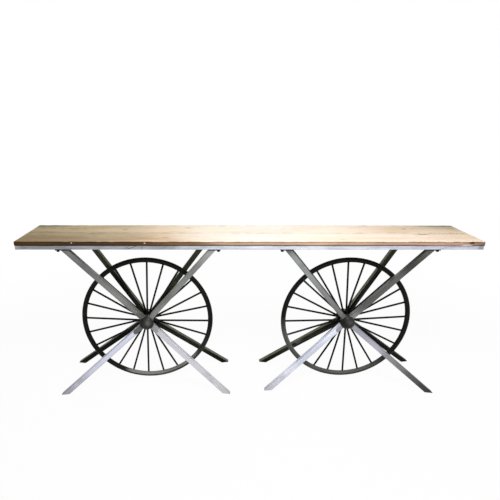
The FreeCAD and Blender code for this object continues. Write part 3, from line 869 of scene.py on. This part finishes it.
def beadTree():
    # overlapping flat beads, laid across a path one after another
    tree, given = startTree("weldBeads", {**dict.fromkeys(beadInputs[:4], "Float"), "Sides": "Int"})
    curve = fieldFrom("GeometryNodeMeshToCurve", {"Mesh": given["Geometry"]})
    path = fieldFrom("GeometryNodeResampleCurve", {"Curve": curve, "Length": given["Spacing"]}, mode="LENGTH")
    bead = fieldFrom("GeometryNodeMeshUVSphere", {"Segments": given["Sides"], "Rings": 4, "Radius": 1.0})
    tangent = Field(addNode(tree, "GeometryNodeInputTangent").outputs[0])
    turn = fieldFrom("FunctionNodeAlignRotationToVector", {"Vector": tangent}, axis="Z")
    size = randomValue(1.0 - given["Variation"], 1.0 + given["Variation"], given["Seed"])
    radius = size * given["Bead radius"]
    scale = vector(radius, radius, radius * given["Flatness"])
    return placeOn(tree, path, bead, given, {"Rotation": turn, "Scale": scale})


def headTree():
    # one copy of a master mesh on each point, turned at random about the upright
    tree, given = startTree("placedHeads", {"Head": "Object"})
    head = fieldFrom("GeometryNodeObjectInfo", {"Object": given["Head"], "As Instance": True}, "Geometry")
    turn = vector(0.0, 0.0, randomValue(0.0, math.tau, given["Seed"]))
    return placeOn(tree, given["Geometry"], head, given, {"Rotation": turn})


def throughTree(name, base, tree, inputs, body):
    # runs a mesh through a tree and keeps the result as a plain mesh
    source = addObject("source", base)
    modifier = source.modifiers.new("make", "NODES")
    modifier.node_group = tree
    for item in tree.interface.items_tree:
        if item.in_out == "INPUT" and item.name in inputs:
            modifier[item.identifier] = inputs[item.name]
    made = bpy.data.meshes.new_from_object(source.evaluated_get(bpy.context.evaluated_depsgraph_get()))
    source.modifiers.remove(modifier)
    bpy.data.objects.remove(source)
    made.name = name
    print(name, "made:", len(made.polygons), "faces")
    return addPiece(name, made, body)


# Welds: legs on the bosses and the plates, spokes on rim and barrel, the frame's inner corners

# for the beads of each kind of weld, in this order
beadInputs = ("Bead radius", "Spacing", "Flatness", "Variation", "Sides", "Seed")
weldShape = {
    "leg": (0.0019, 0.0015, 0.62, 0.16, 8, 5), "spoke": (0.0012, 0.0012, 0.7, 0.18, 6, 11),
    "frame": (0.0015, 0.0014, 0.66, 0.2, 8, 23), "clearOfWheel": 0.0022, "clearOfBoards": 0.003,
    "barCorner": 0.002, "outlineStep": 0.002, "spokePoints": 10, "rimPoints": 24}
wheelShape = {"spokeCount": 24, "spokeRadius": 0.0048, "station": 0.0122, "seatRadius": 0.026,
              "turn": {"left": 1.6, "right": -2.2}, "rimJoint": 199.0}


def pathMesh(paths):
    # each path is its points and whether it closes on itself
    points, edges = [], []
    for path, closed in paths:
        start = len(points)
        points += path
        edges += [(start + i, start + i + 1) for i in range(len(path) - 1)]
        if closed:
            edges.append((start + len(path) - 1, start))
    mesh = bpy.data.meshes.new("paths")
    mesh.from_pydata(points, edges, [])
    return mesh


def circle(middle, right, up, radius, count):
    turns = [math.tau * i / count for i in range(count)]
    return [middle + (right * math.cos(turn) + up * math.sin(turn)) * radius for turn in turns]


def sectionOffsets(run, shape):
    # points round a square tube's outline with round corners, across its run
    outward = (Vector((0, 1, 0)) - run * run.y).normalized()
    sideways = run.cross(outward)
    radius = shape["cornerRadius"]
    straight = shape["size"] / 2 - radius
    flat = []
    for quarter, (a, b) in enumerate(((1, 1), (-1, 1), (-1, -1), (1, -1))):
        for step in range(4):
            turn = math.pi / 2 * (quarter + step / 3)
            flat.append(Vector((a, b)) * straight + Vector((math.cos(turn), math.sin(turn))) * radius)
    dense = []
    for point, after in zip(flat, flat[1:] + flat[:1]):
        steps = max(1, round((after - point).length / weldShape["outlineStep"]))
        dense += [point.lerp(after, i / steps) for i in range(steps)]
    return [outward * p.x + sideways * p.y for p in dense]


def fromAxle(point, hub):
    return math.hypot(point.x - hub.x, point.z - hub.z)


def lastPoint(start, run, near, far, inside):
    # the farthest point on a run at which inside() holds, halved down between near and far
    for _ in range(22):
        middle = (near + far) / 2
        if inside(start + run * middle):
            near = middle
        else:
            far = middle
    return start + run * near


def weldsOfLeg(name, shape):
    # the seam on the boss, open where the boss ends beside the wheel, and the seam on the plate
    side, row = name.split("_")[:2]
    hub = hubs[side]
    start = Vector((hub.x, rowSides[row] * shape["hubStation"], hub.z))
    end = endOfLeg(name)
    run = (end - start).normalized()
    offsets = sectionOffsets(run, shape)
    low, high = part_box(f"{side}_{row}_boss")
    bossRadius = (high.x - low.x) / 2
    bossInner = min(abs(low.y), abs(high.y)) + weldShape["clearOfWheel"]
    seam = [lastPoint(start + o, run, 0.0, 2 * bossRadius, lambda point: fromAxle(point, hub) < bossRadius)
            for o in offsets]
    first = next((i for i in range(len(seam)) if abs(seam[i].y) > bossInner >= abs(seam[i - 1].y)), 0)
    kept = [p for p in seam[first:] + seam[:first] if abs(p.y) > bossInner]
    paths = [(kept, len(kept) == len(seam))]
    if "_upper_" in name:
        rise = end.z - start.z
        paths.append(([start + o + run * ((rise - o.z) / run.z) for o in offsets], True))
    return paths


def weldsOfWheel(side, shape):
    # a small ring of weld at both ends of every spoke, and the joint of the bent rim
    hub = hubs[side]
    across = Vector((0, 1, 0))
    ring, tube = ringOf(side)
    paths = []
    for index in range(shape["spokeCount"]):
        angle = math.radians(shape["turn"][side] + index * 360 / shape["spokeCount"])
        outward = Vector((math.sin(angle), 0, math.cos(angle)))
        foot = hub + across * (shape["station"] * (-1 if index % 2 == 0 else 1))
        run = hub + outward * ring - foot
        length = run.length
        run.normalize()
        sideways = run.cross(across).normalized()
        edges = circle(foot, sideways, run.cross(sideways), shape["spokeRadius"], weldShape["spokePoints"])
        for near, far, inside in (
                (length - 2 * tube, length, lambda p: math.hypot(fromAxle(p, hub) - ring, p.y) > tube),
                (0.0, 2 * shape["seatRadius"], lambda p: fromAxle(p, hub) < shape["seatRadius"])):
            paths.append(([lastPoint(edge, run, near, far, inside) for edge in edges], True))
    joint = math.radians(shape["rimJoint"])
    outward = Vector((math.sin(joint), 0, math.cos(joint)))
    paths.append((circle(hub + outward * ring, outward, across, tube, weldShape["rimPoints"]), True))
    return paths


def weldsOfFrame():
    # round the lower part of each cross bar's ends, and along the mitres under the corners
    inset, corner = weldShape["clearOfBoards"], weldShape["barCorner"]
    bottom, high = railLow.z, boardUnder - inset
    inner, size = abs(railHigh.y), railHigh.y - railLow.y
    paths = []
    for bar in crossBars:
        low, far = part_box(bar)
        section = ((low.x, high), (low.x, bottom + corner), (low.x + corner, bottom),
                   (far.x - corner, bottom), (far.x, bottom + corner), (far.x, high))
        paths += [([Vector((x, y, z)) for x, z in section], False) for y in (low.y, far.y)]
    for a, b in ((-1, -1), (-1, 1), (1, -1), (1, 1)):
        outer = Vector((a * (railHigh.x - inset), b * (abs(railLow.y) - inset), bottom))
        mitre = Vector((a * (railHigh.x - size), b * inner, bottom))
        paths.append(([outer, mitre, Vector((mitre.x, mitre.y, high))], False))
    return paths


def makeWelds(beads):
    def weld(name, paths, kind, material, body):
        inputs = {**dict(zip(beadInputs, weldShape[kind])), "Material": material}
        throughTree(name + "_welds", pathMesh(paths), beads, inputs, body)

    rearPaint = rearLegPaint["left"]
    for row, material, slot in (("front", weldSteel, "bare_steel"), ("rear", rearPaint, "rear_leg_paint")):
        seams = [seam for name in legNames(row) for seam in weldsOfLeg(name, legShape)]
        weld(row + "_leg", seams, "leg", material, "table")
    weld("frame", weldsOfFrame(), "frame", frameZinc, "table")
    for side in wheelSides:
        wheel, seams = side + "_wheel", weldsOfWheel(side, wheelShape)
        weld(wheel, seams, "spoke", wheelPaint[side], wheel)


makeWelds(beadTree())


# Screws under the cross bars: pan heads with a cross recess

screwShape = {
    "headRadius": 0.0045, "headHeight": 0.0025, "headFall": 0.75, "shankRadius": 0.00225, "slotHalf": 0.00055,
    "slotReach": 0.0026, "recess": 0.0015, "taperFrom": 0.85, "tipShare": 0.3, "around": 40, "rings": 14,
    "seed": 3, "sharpAngle": 38}


def screwMaster(shape, length):
    # head below the origin and shank above it
    mesh = bmesh.new()
    head, shank, around, rings = (shape[key] for key in ("headRadius", "shankRadius", "around", "rings"))

    def layerOf(radius, heightAt):
        spots = circle(Vector(), Vector((1, 0, 0)), Vector((0, 1, 0)), radius, around)
        return [mesh.verts.new((spot.x, spot.y, heightAt(spot))) for spot in spots]

    def headHeightAt(spot):
        radius = spot.length
        inSlot = radius < shape["slotReach"] and min(abs(spot.x), abs(spot.y)) < shape["slotHalf"]
        fall = math.sqrt(max(0.0, 1 - (radius / head) ** 4 * shape["headFall"]))
        return (shape["recess"] if inSlot else 0.0) - shape["headHeight"] * fall

    layers = [layerOf(head * ring / rings, headHeightAt) for ring in range(1, rings + 1)]
    for height, radius in ((0.0, head), (0.0, shank), (length * shape["taperFrom"], shank),
                           (length, shank * shape["tipShare"])):
        layers.append(layerOf(radius, lambda spot: height))
    crown = mesh.verts.new((0, 0, shape["recess"] - shape["headHeight"]))
    for i in range(around):
        mesh.faces.new((crown, layers[0][i], layers[0][(i + 1) % around]))
    skinRings(mesh, layers)
    mesh.faces.new(layers[-1])
    return finishMesh("screwMaster", mesh)


def makeScrews(shape):
    low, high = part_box("board_screws")
    headBase = low.z + shape["headHeight"]
    # the rims of the solid's heads, gathered screw by screw
    rims = []
    for point in pointsAt("board_screws", low):
        near = next((rim for rim in rims if (rim[0] - point).length < 3 * shape["headRadius"]), None)
        if near:
            near.append(point)
        else:
            rims.append([point])
    places = [(*middleOf(rim)[:2], headBase) for rim in rims]
    base = bpy.data.meshes.new("screwPlaces")
    base.from_pydata(places, [], [])
    master = addObject("screwMaster", screwMaster(shape, high.z - headBase))
    inputs = {"Head": master, "Seed": shape["seed"], "Material": screwZinc}
    piece = throughTree("board_screw_set", base, headTree(), inputs, "table")
    piece.data.set_sharp_from_angle(angle=math.radians(shape["sharpAngle"]))
    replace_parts(piece, "board_screws")
    bpy.data.objects.remove(master)


makeScrews(screwShape)
